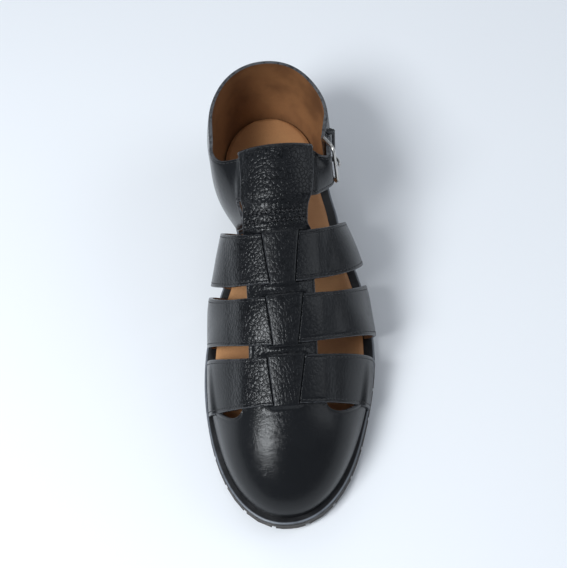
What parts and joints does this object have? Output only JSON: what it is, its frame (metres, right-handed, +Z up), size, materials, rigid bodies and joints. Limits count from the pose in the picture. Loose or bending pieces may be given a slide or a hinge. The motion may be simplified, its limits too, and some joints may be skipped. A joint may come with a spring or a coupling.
{
  "type": "gurkha sandal",
  "caption": "Left-foot gurkha sandal: closed round toe, cross straps threaded through a centre strip, folded loop, buckled ankle strap and lugged rubber sole.",
  "frame": {"origin": "on the floor, under the middle of the shoe's box", "axes": "+Y from the toe to the heel, +X to the outer (lateral) side of the foot, +Z up; the shoe stands on z = 0"},
  "size_m": [0.1078, 0.2884, 0.1117],
  "materials": {
    "black_leather": "pebbled, semi-gloss black leather",
    "tan_leather": "matte natural tan leather",
    "welt_leather": "black waxed welt",
    "sole_rubber": "matte black-brown rubber",
    "brushed_metal": "brushed steel"
  },
  "bodies": {
    "root": {"outsole": "sole_rubber", "heel": "sole_rubber", "welt": "welt_leather", "insole": "tan_leather", "upper": "black_leather", "quarter": "black_leather", "buckle_frame": "brushed_metal", "buckle_prong": "brushed_metal", "keeper": "black_leather"}
  },
  "joints": []
}
